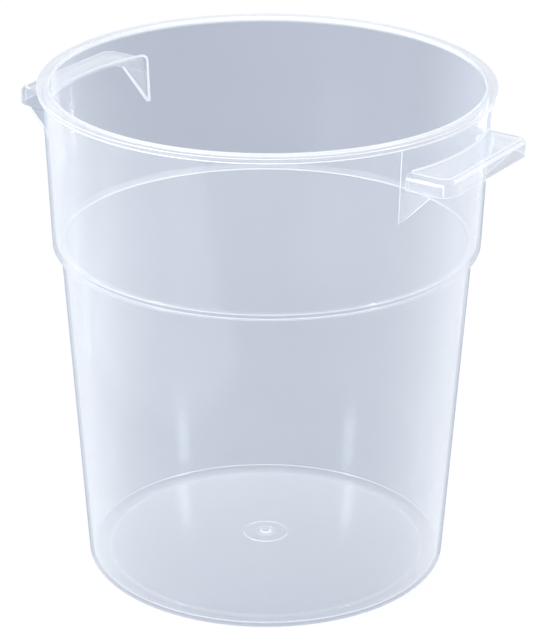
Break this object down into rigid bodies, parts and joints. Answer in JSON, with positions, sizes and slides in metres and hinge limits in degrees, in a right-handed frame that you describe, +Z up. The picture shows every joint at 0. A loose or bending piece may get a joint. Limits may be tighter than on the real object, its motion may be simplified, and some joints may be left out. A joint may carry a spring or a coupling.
{
  "type": "round food storage container",
  "caption": "Open round food container in clear plastic, with a tapered wall under a stepped wider band, a flanged rim for a lid and opposite tray handles on webs.",
  "frame": {"origin": "centre of the foot ring, on the ground plane that the container stands on", "axes": "+Z up along the container's axis, +X out through the right handle, -Y toward the front"},
  "size_m": [0.376, 0.336, 0.38],
  "materials": {
    "natural_polypropylene": "glossy, translucent, faintly hazy"
  },
  "bodies": {
    "root": {"gate_mark": "natural_polypropylene", "floor_panel": "natural_polypropylene", "foot_ring": "natural_polypropylene", "heel": "natural_polypropylene", "lower_wall": "natural_polypropylene", "shoulder": "natural_polypropylene", "upper_wall": "natural_polypropylene", "rim_flange": "natural_polypropylene", "lid_bead": "natural_polypropylene", "handle_plate_right": "natural_polypropylene", "handle_plate_left": "natural_polypropylene", "handle_skirt_right": "natural_polypropylene", "handle_skirt_left": "natural_polypropylene", "gusset_right_front": "natural_polypropylene", "gusset_right_back": "natural_polypropylene", "gusset_left_front": "natural_polypropylene", "gusset_left_back": "natural_polypropylene"}
  },
  "joints": []
}
